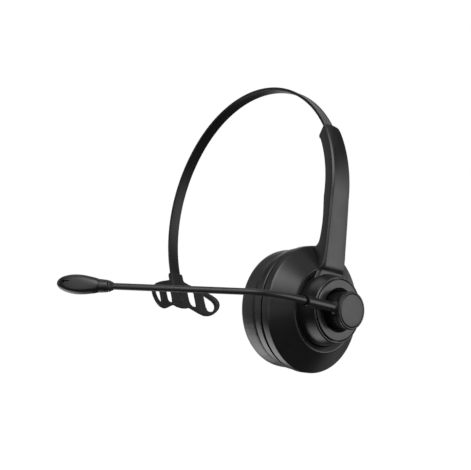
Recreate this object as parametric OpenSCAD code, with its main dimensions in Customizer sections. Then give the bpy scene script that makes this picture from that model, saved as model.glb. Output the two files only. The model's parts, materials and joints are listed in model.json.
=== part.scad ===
// Single-ear office headset: on-ear cup with a fixed arm, sliding headband strap with a rubber
// T-bar, and a bent microphone boom on a push-button pivot. Millimetres.
// Origin: middle of the ear cushion's contact face. +X runs outward along the cup axis,
// +Z is up the arch, -Y is towards the wearer's mouth.

/* [Ear cup] */
// Outer radius of the ear cushion
cushion_outer_r = 30.6; // [28:0.1:36]
// Radius of the ear hole in the cushion
cushion_hole_r = 18.4; // [14:0.1:22]
// Depth of the cushion from contact face to plate
cushion_depth = 11.95; // [9:0.05:16]
// Radius of the rolled corner of the cushion
cushion_corner_r = 5.6; // [2:0.1:5.8]
// Radius of the front ring at its widest
ring_r = 31.7; // [29:0.1:35]
// Radius of the housing rim band
rim_r = 32.2; // [29:0.1:35]
// Distance of the housing rim edge from the contact face
rim_x = 24.9; // [20:0.1:28]
// Radius of the raised lip around the hub recess
lip_r = 21.9; // [18:0.1:24]
// Distance of the raised lip from the contact face
lip_x = 32.6; // [29:0.1:36]

/* [Hub and knob] */
// Radius of the hub at its front edge
hub_r = 16.6; // [14:0.1:19]
// Radius of the hub where it meets the recess
hub_foot_r = 18.4; // [16:0.1:20]
// Distance of the hub face from the contact face
hub_x = 41.6; // [38:0.1:45]
// Radius of the boom knob at its rim
knob_r = 9.45; // [8:0.05:11]
// Distance of the knob rim from the contact face
knob_x = 50; // [47:0.1:54]
// Radius of the call button
button_r = 8.1; // [6:0.1:9]
// Radius of the pivot shaft
shaft_r = 3; // [2:0.1:4]

/* [Boom] */
// Distance of the boom axis from the contact face
boom_x = 46; // [44:0.5:48]
// Rise of the boom at the knob, in degrees
boom_rise = 0.7; // [-20:0.1:20]
// Roll of the bend towards the chin, in degrees
boom_roll = 7.6; // [0:0.1:20]
// Straight length from the pivot axis to the bend
boom_straight = 35.3; // [30:0.1:45]
// Radius of the bend
boom_bend_r = 33.7; // [20:0.1:80]
// Angle of the bend
boom_bend = 45.3; // [20:0.1:70]
// Radius of the boom tube
boom_r = 1.56; // [1.2:0.02:2.5]
// Radius of the rigid socket
socket_r = 2.45; // [2:0.05:3.5]
// Distance from the pivot axis to the socket end
socket_end = 27.8; // [22:0.1:34]

/* [Microphone] */
// Distance from the bend to the microphone flare
mic_start = 59.4; // [40:0.1:80]
// Length of the collar behind the capsule
collar_length = 4.2; // [3:0.1:6]
// Length of the capsule
capsule_length = 20; // [16:0.1:26]
// Largest radius of the capsule
capsule_r = 4.6; // [3.5:0.1:6]
// Half thickness between the flats of the capsule
capsule_half = 3.3; // [2.5:0.1:4.5]
// Upward tip of the capsule on its collar
capsule_tip = 1.5; // [0:0.5:5]

/* [Arm] */
// Radius of the outer face of the arm about the arch centre
arm_outer_r = 70.8; // [69.5:0.1:74]
// Radius of the inner face of the arm about the arch centre
arm_inner_r = 64.3; // [62:0.1:66]
// Angle of the arm mouth above the arch centre, on the inner face
arm_mouth_in = 31.6; // [20:0.5:45]
// Angle of the arm mouth above the arch centre, on the outer face
arm_mouth_out = 35.2; // [20:0.5:45]
// Angle of the arm mouth above the arch centre, at the strap
arm_mouth_mid = 33.2; // [20:0.5:45]
// Width of the arm at its foot
arm_foot_width = 14.8; // [11:0.1:16]
// Width of the arm at its mouth
arm_mouth_width = 12; // [9:0.1:14]

/* [Headband] */
// X of the arch centre
arch_x = -36.7; // [-45:0.1:-30]
// Z of the arch centre
arch_z = 57.6; // [50:0.1:65]
// Radius of the strap centre line
arch_r = 68.1; // [60:0.1:75]
// Angle where the strap opens out to the larger radius
arch_turn = 138.7; // [120:0.1:160]
// Radius of the strap centre line below that angle
arch_tail_r = 75.3; // [60:0.1:90]
// Angle where the strap runs straight into the T-bar
arch_end = 209.5; // [195:0.1:215]
// Width of the strap
strap_width = 6.8; // [5:0.1:12]
// Thickness of the strap
strap_thick = 1.6; // [0.8:0.1:2.5]

/* [T-bar] */
// Thickness of the rubber bar
tbar_thick = 2; // [1.6:0.1:5]
// Radius to which the bar curls around the head
tbar_curl_r = 55.5; // [35:0.5:90]

/* [Hidden] */
$fn = 96;
black = [0.05, 0.05, 0.055];
graphite = [0.1, 0.1, 0.105];
leatherette = [0.07, 0.07, 0.075];
rubber = [0.06, 0.06, 0.062];
cloth = [0.09, 0.09, 0.09];
steel = [0.6, 0.6, 0.62];
brass = [0.75, 0.6, 0.3];
board = [0.05, 0.2, 0.1];
pouch = [0.55, 0.57, 0.6];
lamp = [0.5, 0.75, 0.55];
channel_play = 0.15;
mouth_r = 67.1;
strap_start = 5;
socket_foot = 9.05;
recess_r = 18.6;
recess_x = 31.6;
ring_length = 1.5;
tail_x = arch_x + (arch_r - arch_tail_r) * cos(arch_turn);
tail_z = arch_z + (arch_r - arch_tail_r) * sin(arch_turn);
end_x = tail_x + arch_tail_r * cos(arch_end);
end_z = tail_z + arch_tail_r * sin(arch_end);
tbar_tilt = arch_end - 180;
mic_back = mic_start + 2.35;
capsule_back = mic_back + collar_length;
key_x = 16.4;
key_up = 50;
key_down = 22;
slide_at = -8;
lamp_at = -26;
port_at = -50;
slide_travel = 3;

// Stands a shape drawn along Z onto the cup axis
module on_axis() {
    rotate([0, 90, 0]) children();
}

// Revolves a profile of [radius, distance] points about the cup axis
module turned(points) {
    on_axis() rotate_extrude() polygon(points);
}

// Moves a shape drawn along Y to an angle around the cup axis
module around(angle, at_x) {
    translate([at_x, 0, 0]) rotate([angle, 0, 0]) children();
}

// Turns a shape drawn in the XY plane into the arch plane
module in_arch() {
    rotate([90, 0, 0]) children();
}

// Sweeps a rectangular section around the arch centre
module arch_band(inner, outer, from, to, width) {
    translate([arch_x, 0, arch_z]) in_arch() rotate([0, 0, from]) rotate_extrude(angle = to - from)
        translate([inner, -width / 2]) square([outer - inner, width]);
}

// Places a shape in the boom's frame, Z along the boom and X towards the bend
module on_boom() {
    translate([boom_x, 0, 0]) rotate([90 - boom_rise, 0, 0]) rotate([0, 0, 180 + boom_roll]) children();
}

// Places a shape at the end of the bend, Z along the microphone
module on_tip() {
    bend_side = boom_bend_r * (1 - cos(boom_bend));
    bend_end = boom_straight + boom_bend_r * sin(boom_bend);
    on_boom() translate([bend_side, 0, bend_end]) rotate([0, boom_bend, 0]) children();
}

// Rod that follows the boom centre line; the bend is a hair thinner and reaches into both straights
module boom_rod(radius, start, end) {
    on_boom() translate([0, 0, start]) cylinder(r = radius, h = boom_straight - start);
    on_boom() translate([boom_bend_r, 0, boom_straight]) rotate([90, 0, 0]) rotate([0, 0, 179.5 - boom_bend])
        rotate_extrude(angle = boom_bend + 1) translate([boom_bend_r, 0]) circle(r = radius - 0.01);
    on_tip() cylinder(r = radius, h = end);
}

// Outline shared by the housing and the cut that clears it
module housing_outline(gap) {
    polygon([
        [0, 19.85], [31.7 + gap, 19.85], [rim_r + gap, 20.3], [rim_r + gap, rim_x - 0.8],
        [rim_r - 0.9 + gap, rim_x + gap], [lip_r + gap, lip_x - 0.4], [lip_r - 0.4, lip_x + gap],
        [lip_r - 0.8, lip_x + gap], [recess_r, recess_x + gap], [0, recess_x + gap]
    ]);
}

module ear_cushion() {
    r = cushion_corner_r;
    color(leatherette) on_axis() rotate_extrude() {
        translate([cushion_hole_r, r]) square([cushion_outer_r - cushion_hole_r, cushion_depth - 1.2 - r]);
        translate([cushion_hole_r + r, 0]) square([cushion_outer_r - cushion_hole_r - 2 * r, r]);
        translate([cushion_hole_r + r, r]) circle(r = r);
        translate([cushion_outer_r - r, r]) circle(r = r);
        translate([cushion_hole_r + 1, cushion_depth - 2])
            square([cushion_outer_r - cushion_hole_r - 2.2, 2]);
        translate([cushion_outer_r - 1.2, cushion_depth - 1.2]) circle(r = 1.2);
        translate([30.15, cushion_depth - 1.3]) square([cushion_outer_r - 30.15, 2.85]);
    }
}

module cushion_plate() {
    color(black) turned([[19, 12], [29, 12], [29, 13], [19, 13]]);
}

module speaker_cloth() {
    color(cloth) turned([[0, 12.55], [18.9, 12.55], [18.9, 12.95], [0, 12.95]]);
}

module baffle() {
    color(black) difference() {
        turned([[0, 13.05], [29.3, 13.05], [29.3, 14.3], [0, 14.3]]);
        for (i = [0:5]) {
            rotate([i * 60, 0, 0]) translate([12, 0, 4.5]) on_axis() cylinder(r = 1, h = 4, $fn = 24);
        }
        for (i = [0:11]) {
            rotate([i * 30, 0, 0]) translate([12, 0, 9]) on_axis() cylinder(r = 1, h = 4, $fn = 24);
        }
    }
}

module speaker_frame() {
    color(steel) turned([
        [14, 14.35], [16, 14.35], [16, 15.6], [11.5, 17.4], [9.2, 17.4], [9.2, 16.6], [11.2, 16.6],
        [14, 15.2]
    ]);
}

module speaker_cone() {
    color(graphite) turned([
        [0, 14.9], [6, 15.4], [10.6, 14.9], [13.9, 14.5], [13.9, 14.8], [10.7, 15.25], [6, 15.8], [0, 15.3]
    ]);
}

module speaker_magnet() {
    color(steel) turned([[0, 16.2], [8.9, 16.2], [8.9, 19.4], [0, 19.4]]);
}

module front_ring() {
    color(black) difference() {
        turned([
            [29.05, 12], [30.05, 12], [30.05, 13.6], [30.9, 13.6], [31.15, 13.9], [ring_r, 18.2],
            [ring_r, 18.6], [29.4, 18.6], [29.4, 13.02], [29.05, 13.02]
        ]);
        around(key_up, key_x) translate([-1.7, 28, -3.7]) cube([3.4, 6, 7.4]);
        around(key_down, key_x) translate([-1.7, 28, -3.7]) cube([3.4, 6, 7.4]);
        around(slide_at, key_x) translate([-1.4, 28, -3.4]) cube([2.8, 6, 3.8 + slide_travel]);
        around(lamp_at, key_x) translate([0, 28, 0]) rotate([-90, 0, 0]) cylinder(r = 0.95, h = 6, $fn = 32);
        around(port_at, key_x) port_stadium(1.78, 4.62, 28, 6);
    }
}

module parting_ring() {
    color(rubber) turned([[28.6, 18.65], [30.2, 18.65], [30.2, 19.8], [28.6, 19.8]]);
}

module housing_shell() {
    color(black) difference() {
        on_axis() rotate_extrude() difference() {
            housing_outline(0);
            polygon([[-1, 26], [recess_r, 26], [recess_r, lip_x + 1], [-1, lip_x + 1]]);
            polygon([
                [-1, 19], [29.6, 19], [29.6, 23.2], [23.2, 29.2], [20.4, 29.2], [20.4, 24.6], [-1, 24.6]
            ]);
        }
        translate([22, 0, 0]) on_axis() cylinder(r = 7, h = 6);
    }
}

module circuit_board() {
    color(board) turned([[9.6, 19.45], [28.2, 19.45], [28.2, 20.45], [9.6, 20.45]]);
}

module battery() {
    color(pouch) translate([20.6, -15, -10]) cube([3.6, 30, 20]);
}

// Rounded slot shape of the charging port, drawn along Y
module port_stadium(half_height, half_width, from, depth) {
    translate([0, from, 0]) rotate([-90, 0, 0]) {
        translate([-half_height, half_height - half_width, 0])
            cube([2 * half_height, 2 * (half_width - half_height), depth]);
        translate([0, half_width - half_height, 0]) cylinder(r = half_height, h = depth, $fn = 48);
        translate([0, half_height - half_width, 0]) cylinder(r = half_height, h = depth, $fn = 48);
    }
}

module charge_port() {
    color(steel) around(port_at, key_x) difference() {
        port_stadium(1.63, 4.47, 24.2, 6.6);
        port_stadium(1.33, 4.17, 25, 7);
    }
}

module port_tongue() {
    color(black) around(port_at, key_x) translate([-0.35, 25.05, -3.3]) cube([0.7, 4.8, 6.6]);
}

module status_light() {
    color(lamp) around(lamp_at, key_x) translate([0, 26, 0]) rotate([-90, 0, 0])
        cylinder(r = 0.9, h = 5.3, $fn = 32);
}

module key_switches() {
    color(graphite) {
        around(key_up, key_x) translate([-1.4, 25.2, -2]) cube([2.8, 2, 4]);
        around(key_down, key_x) translate([-1.4, 25.2, -2]) cube([2.8, 2, 4]);
        around(slide_at, key_x) translate([-1.4, 25.2, -3]) cube([2.8, 2, 6]);
    }
}

// Side view of the arm from the hub to the mouth
module arm_side() {
    difference() {
        union() {
            intersection() {
                difference() {
                    translate([arch_x, arch_z]) circle(r = arm_outer_r);
                    translate([arch_x, arch_z]) circle(r = arm_inner_r);
                }
                translate([arch_x, arch_z]) polygon([
                    [0, 0], [90, 0], [90 * cos(arm_mouth_out), 90 * sin(arm_mouth_out)],
                    [arm_outer_r * cos(arm_mouth_out), arm_outer_r * sin(arm_mouth_out)],
                    [mouth_r * cos(arm_mouth_mid), mouth_r * sin(arm_mouth_mid)],
                    [arm_inner_r * cos(arm_mouth_in), arm_inner_r * sin(arm_mouth_in)]
                ]);
            }
            polygon([
                [arch_x + arm_inner_r, arch_z], [28.9, 48], [29.2, 42], [29, 37], [28.6, 33.8],
                [27.8, 32], [26.2, 31], [24, 30.7], [20.5, 24], [35.7, 14], [35.5, 24],
                [arch_x + arm_outer_r, arch_z]
            ]);
        }
        translate([34.4, -5]) square([3, 24.3]);
    }
}

// Front view of the arm, tapering from foot to mouth
module arm_front() {
    foot = arm_foot_width / 2;
    tip = arm_mouth_width / 2;
    polygon([
        [-12, 12], [-10.6, 16], [-9.5, 18.4], [-8.6, 20.8], [-7.9, 24], [-foot, 30], [-tip, 94],
        [-tip + 0.7, 96.2], [-tip + 2.2, 97.8], [0, 98.9], [tip - 2.2, 97.8], [tip - 0.7, 96.2], [tip, 94],
        [foot, 30], [7.9, 24], [8.6, 20.8], [9.5, 18.4], [10.6, 16], [12, 12]
    ]);
}

module arm_shell() {
    color(black) difference() {
        union() {
            difference() {
                intersection() {
                    translate([0, 12, 0]) in_arch() linear_extrude(24) arm_side();
                    translate([17, 0, 0]) rotate([90, 0, 90]) linear_extrude(32) arm_front();
                }
                on_axis() cylinder(r = hub_r - 0.5, h = 60);
                on_axis() rotate_extrude() housing_outline(0.05);
            }
            turned([
                [7.2, 26.05], [hub_foot_r, 26.05], [hub_foot_r, recess_x], [hub_r, hub_x - 1.1],
                [hub_r - 0.5, hub_x - 0.5], [15.6, hub_x - 0.5], [15.55, hub_x - 0.8], [15.55, 39.95],
                [14.4, 39.95], [14.4, 35], [7.6, 35], [7.6, 36], [5.95, 36],
                [5.95, 30], [7.6, 30], [7.6, 33], [14.4, 33], [14.4, 27.6], [7.2, 27.6]
            ]);
        }
        arch_band(arch_r - 0.8 - channel_play, arch_r + 0.8 + channel_play, -2.2, 40, strap_width + 0.4);
        arch_band(arch_r - 0.8 - channel_play, arch_r + 0.8 + channel_play, -2.2, 24.2, 8.6);
        arch_band(arm_inner_r - 1, arch_r - 1, -2.7, 27.5, 9);
    }
}

module arm_cover() {
    color(black) difference() {
        arch_band(arm_inner_r, arch_r - 1.05, -2.5, 27.3, 8.8);
        arm_screw_at(0) cylinder(r = 1.05, h = 6, center = true, $fn = 32);
        arm_screw_at(25.4) cylinder(r = 1.05, h = 6, center = true, $fn = 32);
    }
}

// Places a screw drawn along Z across the arm cover
module arm_screw_at(angle) {
    translate([arch_x, 0, arch_z]) rotate([0, 90 - angle, 0])
        translate([0, 0, arm_inner_r + 0.4]) children();
}

module arm_screws() {
    color(steel) {
        arm_screw_at(0) cylinder(r = 1, h = 1.2, $fn = 32);
        arm_screw_at(25.4) cylinder(r = 1, h = 1.2, $fn = 32);
    }
}

module hub_cover() {
    color(black) turned([
        [10.5, 37.2], [11.4, 37.2], [11.4, 40], [15.3, 40], [15.3, hub_x - 0.4], [14.95, hub_x],
        [11, hub_x], [10.5, hub_x - 0.4], [10.5, 39.2], [9.3, 39.2], [9.3, 38.5], [10.5, 38.5]
    ]);
}

module pivot_bush() {
    color(brass) turned([[shaft_r + 0.05, 30.2], [5.9, 30.2], [5.9, 36], [shaft_r + 0.05, 36]]);
}

module friction_washer() {
    color(rubber) turned([[3.3, 36.05], [5.8, 36.05], [5.8, 36.9], [3.3, 36.9]]);
}

// Radial push key with a retaining flange, drawn along Y
module side_key() {
    translate([-1.95, 27.9, -4.1]) cube([3.9, 0.7, 8.2]);
    translate([-1.55, 28, -3.55]) cube([3.1, 3.9, 7.1]);
}

module volume_up_key() {
    color(graphite) around(key_up, key_x) side_key();
}

module volume_down_key() {
    color(graphite) around(key_down, key_x) side_key();
}

module power_slider() {
    color(graphite) around(slide_at, key_x) {
        translate([-1.7, 27.4, -2.6]) cube([3.4, 0.9, 3.6]);
        translate([-1.25, 27.5, -3.2]) cube([2.5, 4.4, 3.2]);
    }
}

// Outer profile of the knob, grown by a gap where something is cut to clear it
module knob_outline(gap) {
    polygon([
        [0, 37 - gap], [8.6 + gap, 37 - gap], [9 + gap, 37.4], [9 + gap, 46.6], [knob_r - 0.15 + gap, 48.4],
        [knob_r + gap, 49.1], [knob_r - 0.25 + gap, 49.7], [knob_r - 0.7, knob_x + gap], [0, knob_x + gap]
    ]);
}

module boom_knob() {
    color(black) difference() {
        on_axis() rotate_extrude() difference() {
            knob_outline(0);
            polygon([[-1, 36], [shaft_r, 36], [shaft_r, 42], [-1, 42]]);
            polygon([[-1, 48.3], [button_r + 0.2, 48.3], [button_r + 0.2, 52], [-1, 52]]);
        }
        on_boom() translate([0, 0, 4.4]) cylinder(r = 1.8, h = 8);
    }
}

module pivot_shaft() {
    color(steel) turned([
        [0, 28.2], [2.7, 28.2], [shaft_r - 0.02, 28.5], [shaft_r - 0.02, 28.8], [2.4, 28.8], [2.4, 29.6],
        [shaft_r - 0.02, 29.6], [shaft_r - 0.02, 41.95], [0, 41.95]
    ]);
}

module retaining_clip() {
    color(steel) difference() {
        turned([[2.45, 28.85], [5, 28.85], [5, 29.55], [2.45, 29.55]]);
        translate([28, -1.6, -6]) cube([2.4, 3.2, 6]);
    }
}

module button_switch() {
    color(steel) turned([[0, 48.32], [2.2, 48.32], [1.7, 48.7], [0, 48.82]]);
}

module boom_socket() {
    color(black) difference() {
        on_boom() {
            translate([0, 0, 4.5]) cylinder(r = 1.75, h = 5);
            translate([0, 0, socket_foot - 0.6]) cylinder(r = socket_r, h = socket_end - socket_foot + 0.6);
            translate([0, 0, socket_foot - 0.6]) cylinder(r1 = 3.4, r2 = socket_r, h = 2.2);
        }
        difference() {
            on_axis() rotate_extrude() knob_outline(0.03);
            on_boom() cylinder(r = 1.75, h = 12);
        }
        on_boom() translate([0, 0, 12]) cylinder(r = boom_r + 0.04, h = 20);
    }
}

module socket_ring() {
    color(rubber) on_boom() translate([0, 0, socket_end]) difference() {
        cylinder(r = socket_r - 0.1, h = ring_length);
        translate([0, 0, -1]) cylinder(r = boom_r + 0.04, h = ring_length + 2);
    }
}

module boom_tube() {
    color(black) difference() {
        union() {
            boom_rod(boom_r, 12.4, mic_start + 4.8);
            on_boom() translate([0, 0, socket_end + ring_length])
                cylinder(r1 = 1.92, r2 = boom_r, h = boom_straight - socket_end - ring_length);
        }
        boom_rod(0.8, 12, mic_start + 6);
    }
}

module boom_wire() {
    color(brass) boom_rod(0.7, 12.4, mic_start + 4.6);
}

module mic_ring() {
    color(black) on_tip() translate([0, 0, mic_start]) difference() {
        union() {
            cylinder(r1 = boom_r + 0.25, r2 = 2.5, h = 1.4);
            translate([0, 0, 1.4]) cylinder(r = 2.62, h = 0.9);
        }
        translate([0, 0, -1]) cylinder(r = boom_r + 0.04, h = 4);
    }
}

module mic_collar() {
    color(black) on_tip() translate([0, 0, mic_back]) difference() {
        cylinder(r1 = 2.82, r2 = 3.2, h = collar_length - 0.03);
        translate([0, 0, -1]) cylinder(r = boom_r + 0.04, h = 4.2);
        translate([0, 0, 3.15]) cylinder(r = 2, h = 4);
    }
}

// Places a shape behind the collar, tipped up with the capsule
module on_capsule() {
    on_tip() translate([0, 0, capsule_back + 0.1]) rotate([capsule_tip, 0, 0]) children();
}

// Teardrop envelope of the capsule about its long axis
module capsule_outline(inset) {
    l = capsule_length;
    r = capsule_r;
    polygon([
        [0, inset], [3.2 - inset, inset], [3.65 - inset, 1.8], [4.1 - inset, 4.6], [4.35 - inset, 6.2],
        [4.52 - inset, 7.7], [r - inset, 9.3], [r - inset, 10.6], [4.52 - inset, 11.9], [4.38 - inset, 13.1],
        [4.1 - inset, 14.5], [3.78 - inset, 15.9], [3.3 - inset, 17.3], [2.7 - inset, 18.6],
        [1.9 - inset, 19.5], [1 - inset * 0.7, l - 0.15 - inset], [0, l - inset]
    ]);
}

// Flattened capsule body with its thickness limited on both sides
module capsule_body(inset) {
    intersection() {
        rotate_extrude() capsule_outline(inset);
        translate([-capsule_half + inset, -8, 0]) cube([2 * (capsule_half - inset), 16, capsule_length + 1]);
    }
}

module mic_shell() {
    color(black) on_capsule() difference() {
        capsule_body(0);
        capsule_body(0.9);
        translate([1, -2.7, 4]) cube([4, 5.4, 11]);
        translate([-5, -0.95, 13.8]) cube([4, 0.4, 2.5]);
        translate([-5, -0.55, 16.2]) rotate([0, 90, 0]) cylinder(r = 0.42, h = 4, $fn = 24);
        translate([0, 0, -1]) cylinder(r = 1.5, h = 3);
    }
}

module mic_grille() {
    color(steel) on_capsule() difference() {
        translate([2.7, -2.65, 4.05]) cube([0.4, 5.3, 10.9]);
        for (i = [0:5]) {
            translate([2, -1.9, 5.2 + i * 1.7]) cube([2, 3.8, 0.6]);
        }
    }
}

module mic_element() {
    color(steel) on_capsule() translate([-1.8, 0, 11]) rotate([0, 90, 0]) cylinder(r = 2.6, h = 2.4);
}

module call_button() {
    color(graphite) turned([
        [0, 49.4], [2.7, 49.4], [2.7, 48.95], [button_r, 48.95], [button_r, 49.9], [button_r - 0.35, 50.22],
        [6, 50.32], [0, 50.4]
    ]);
}

// Section of the strap across its width, with broken edges
module strap_section(radius, inset) {
    h = strap_width / 2 - inset;
    t = strap_thick / 2 - inset;
    translate([radius, 0]) polygon([
        [-t, 0.3 - h], [0.3 - t, -h], [t - 0.3, -h], [t, 0.3 - h], [t, h - 0.3], [t - 0.3, h], [0.3 - t, h],
        [-t, h - 0.3]
    ]);
}

module headband_strap() {
    color(graphite) {
        translate([arch_x, 0, arch_z]) in_arch() rotate([0, 0, strap_start])
            rotate_extrude(angle = arch_turn - strap_start)
            strap_section(arch_r, 0);
        translate([tail_x, 0, tail_z]) in_arch() rotate([0, 0, arch_turn - 0.5])
            rotate_extrude(angle = arch_end - arch_turn + 0.5) strap_section(arch_tail_r, 0.02);
        in_tbar() translate([-1, 0, 0]) rotate([0, 90, 0]) linear_extrude(9) strap_section(0, 0.05);
    }
}

module strap_stop() {
    color(steel) arch_band(arch_r - 0.75, arch_r + 0.75, strap_start - 2.4, strap_start - 0.05, 8.2);
}

// Frame of the T-bar: X down the bar, Y across it and Z towards the head
module in_tbar() {
    translate([end_x, 0, end_z]) rotate([0, 90 - tbar_tilt, 0]) children();
}

// Half outline of the T-bar, X down the bar and Y across it
module tbar_half() {
    difference() {
        polygon([
            [-3.1, 0], [-3.1, 4], [-2.5, 4.7], [0.2, 4.6], [1.4, 4.9], [2.4, 6], [3.6, 8.6], [5.6, 13.4],
            [7.8, 17.3], [10, 20.8], [12.8, 23.7], [15.4, 24.9], [17.6, 25], [20, 24.3], [22.2, 22.6],
            [23.7, 20.3], [24.4, 17.6], [24.3, 15.2], [23.5, 13], [21.8, 10], [20.2, 7.4], [19.6, 5.4],
            [20.2, 3.6], [20.5, 0]
        ]);
        polygon([
            [6.2, 7.3], [6.8, 6.5], [11, 6.2], [16.4, 6.5], [18, 7.3], [18.7, 8.6], [18.6, 9.9], [17.5, 11],
            [11, 11.2], [8.2, 11.1], [6.7, 10]
        ]);
        polygon([
            [9.8, 17.1], [11, 16.7], [15, 16.5], [20.2, 16.7], [21.4, 17.2], [22.1, 18.4], [21.9, 19.9],
            [20.8, 21.4], [19, 22.5], [17, 22.8], [15, 22.2], [12.9, 20.5], [10.9, 18.5]
        ]);
    }
}

module t_bar() {
    color(rubber) difference() {
        union() {
            in_tbar() intersection() {
                translate([0, 0, -12]) linear_extrude(36) {
                    tbar_half();
                    mirror([0, 1]) tbar_half();
                }
                translate([-20, 0, tbar_curl_r]) on_axis() difference() {
                    cylinder(r = tbar_curl_r + tbar_thick / 2, h = 60, $fn = 240);
                    translate([0, 0, -1]) cylinder(r = tbar_curl_r - tbar_thick / 2, h = 62, $fn = 240);
                }
            }
            in_tbar() translate([-3.1, -4.6, -1.9]) cube([12.5, 9.2, 3.8]);
        }
        in_tbar() translate([-6, -strap_width / 2, -0.9]) cube([14.1, strap_width, 1.8]);
    }
}

ear_cushion();
cushion_plate();
speaker_cloth();
baffle();
speaker_frame();
speaker_cone();
speaker_magnet();
front_ring();
parting_ring();
housing_shell();
circuit_board();
battery();
charge_port();
port_tongue();
status_light();
key_switches();
arm_shell();
arm_cover();
arm_screws();
hub_cover();
pivot_bush();
friction_washer();
volume_up_key();
volume_down_key();
power_slider();
boom_knob();
pivot_shaft();
retaining_clip();
button_switch();
boom_socket();
socket_ring();
boom_tube();
boom_wire();
mic_ring();
mic_collar();
mic_shell();
mic_grille();
mic_element();
call_button();
headband_strap();
strap_stop();
t_bar();
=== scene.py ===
"""Office headset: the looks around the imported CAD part. Lengths are in millimetres until they become a mesh."""

import json
import math

import bmesh
import bpy
from mathutils import Matrix, Vector, noise


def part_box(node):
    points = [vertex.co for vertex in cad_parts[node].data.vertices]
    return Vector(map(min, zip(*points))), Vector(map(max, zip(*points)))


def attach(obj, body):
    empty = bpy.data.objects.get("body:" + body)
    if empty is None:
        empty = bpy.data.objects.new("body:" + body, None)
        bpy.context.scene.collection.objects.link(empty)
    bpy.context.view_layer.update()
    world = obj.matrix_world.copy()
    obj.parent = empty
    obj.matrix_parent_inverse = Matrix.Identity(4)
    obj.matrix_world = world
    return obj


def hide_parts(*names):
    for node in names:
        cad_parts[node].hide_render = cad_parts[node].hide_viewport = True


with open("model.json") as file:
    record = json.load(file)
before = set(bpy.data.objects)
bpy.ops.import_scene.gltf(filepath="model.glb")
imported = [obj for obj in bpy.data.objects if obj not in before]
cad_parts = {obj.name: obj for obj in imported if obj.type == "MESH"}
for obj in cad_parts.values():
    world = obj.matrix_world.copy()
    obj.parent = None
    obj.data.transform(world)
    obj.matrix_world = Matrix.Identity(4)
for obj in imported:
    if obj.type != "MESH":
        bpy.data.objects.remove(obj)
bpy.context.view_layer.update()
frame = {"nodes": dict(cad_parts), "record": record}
MM = 0.001

# Main dimensions, as the CAD has them
ARCH = Vector((-36.7, 57.6))  # arch centre, X and Z
ARCH_R = 68.1
TAIL_R = 75.3
ARCH_TURN = 138.7
ARCH_END = 209.5
BOOM_X = 46
BOOM_RISE = 0.7
BOOM_ROLL = 7.6
BOOM_STRAIGHT = 35.3
BEND_R = 33.7
BEND = 45.3
BOOM_R = 1.56
BOOM_FOOT_R = 1.92
SOCKET_END = 27.8
RING_LENGTH = 1.5
MIC_START = 59.4
MIC_BACK = MIC_START + 2.35
COLLAR = 4.2
CAPSULE_BACK = MIC_BACK + COLLAR
CAPSULE_TIP = 1.5
HUB_R = 16.6
HUB_X = 41.6
KEY_X = 16.4
# Angles round the cup of the pieces in the side of the front ring
VOLUME_UP_AT = 50
VOLUME_DOWN_AT = 22
SLIDER_AT = -8
LIGHT_AT = -26
PORT_AT = -50
ARM_OUT = 70.8
ARM_IN = 64.3
# Depth below the arm's outer face, and the mouth's angle above the arch centre there
MOUTH = ((0, 35.2), (0.6, 34.8), (2.2, 33.4), (3.6, 32.4), (5.5, 31.6), (6.1, 31), (6.5, 30))
CURL_R = 55.5


# ---------------------------------------------------------------- frames

def move(x, y, z):
    return Matrix.Translation((x, y, z))


def turn(degrees, axis):
    return Matrix.Rotation(math.radians(degrees), 4, axis)


CUP = turn(90, "Y")
BOOM = move(BOOM_X, 0, 0) @ turn(90 - BOOM_RISE, "X") @ turn(180 + BOOM_ROLL, "Z")
BEND_SIDE = BEND_R * (1 - math.cos(math.radians(BEND)))
BEND_END = BOOM_STRAIGHT + BEND_R * math.sin(math.radians(BEND))
TIP = BOOM @ move(BEND_SIDE, 0, BEND_END) @ turn(BEND, "Y")
CAPSULE = TIP @ move(0, 0, CAPSULE_BACK + 0.1) @ turn(CAPSULE_TIP, "X")
TAIL = ARCH + (ARCH_R - TAIL_R) * Vector((math.cos(math.radians(ARCH_TURN)),
                                          math.sin(math.radians(ARCH_TURN))))
END = TAIL + TAIL_R * Vector((math.cos(math.radians(ARCH_END)), math.sin(math.radians(ARCH_END))))
TBAR = move(END.x, 0, END.y) @ turn(90 - (ARCH_END - 180), "Y")
TBAR_M = Matrix.Scale(MM, 4) @ TBAR @ Matrix.Scale(1 / MM, 4)  # the same frame for meshes in metres


def around(degrees, x):
    """Frame at an angle round the cup axis, its Y pointing outward."""
    return move(x, 0, 0) @ turn(degrees, "X")


# ---------------------------------------------------------------- materials

def node_material(name):
    """An empty node material with a principled shader."""
    m = bpy.data.materials.new(name)
    m.use_nodes = True
    nodes, links = m.node_tree.nodes, m.node_tree.links
    return m, nodes, links, nodes["Principled BSDF"]


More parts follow.
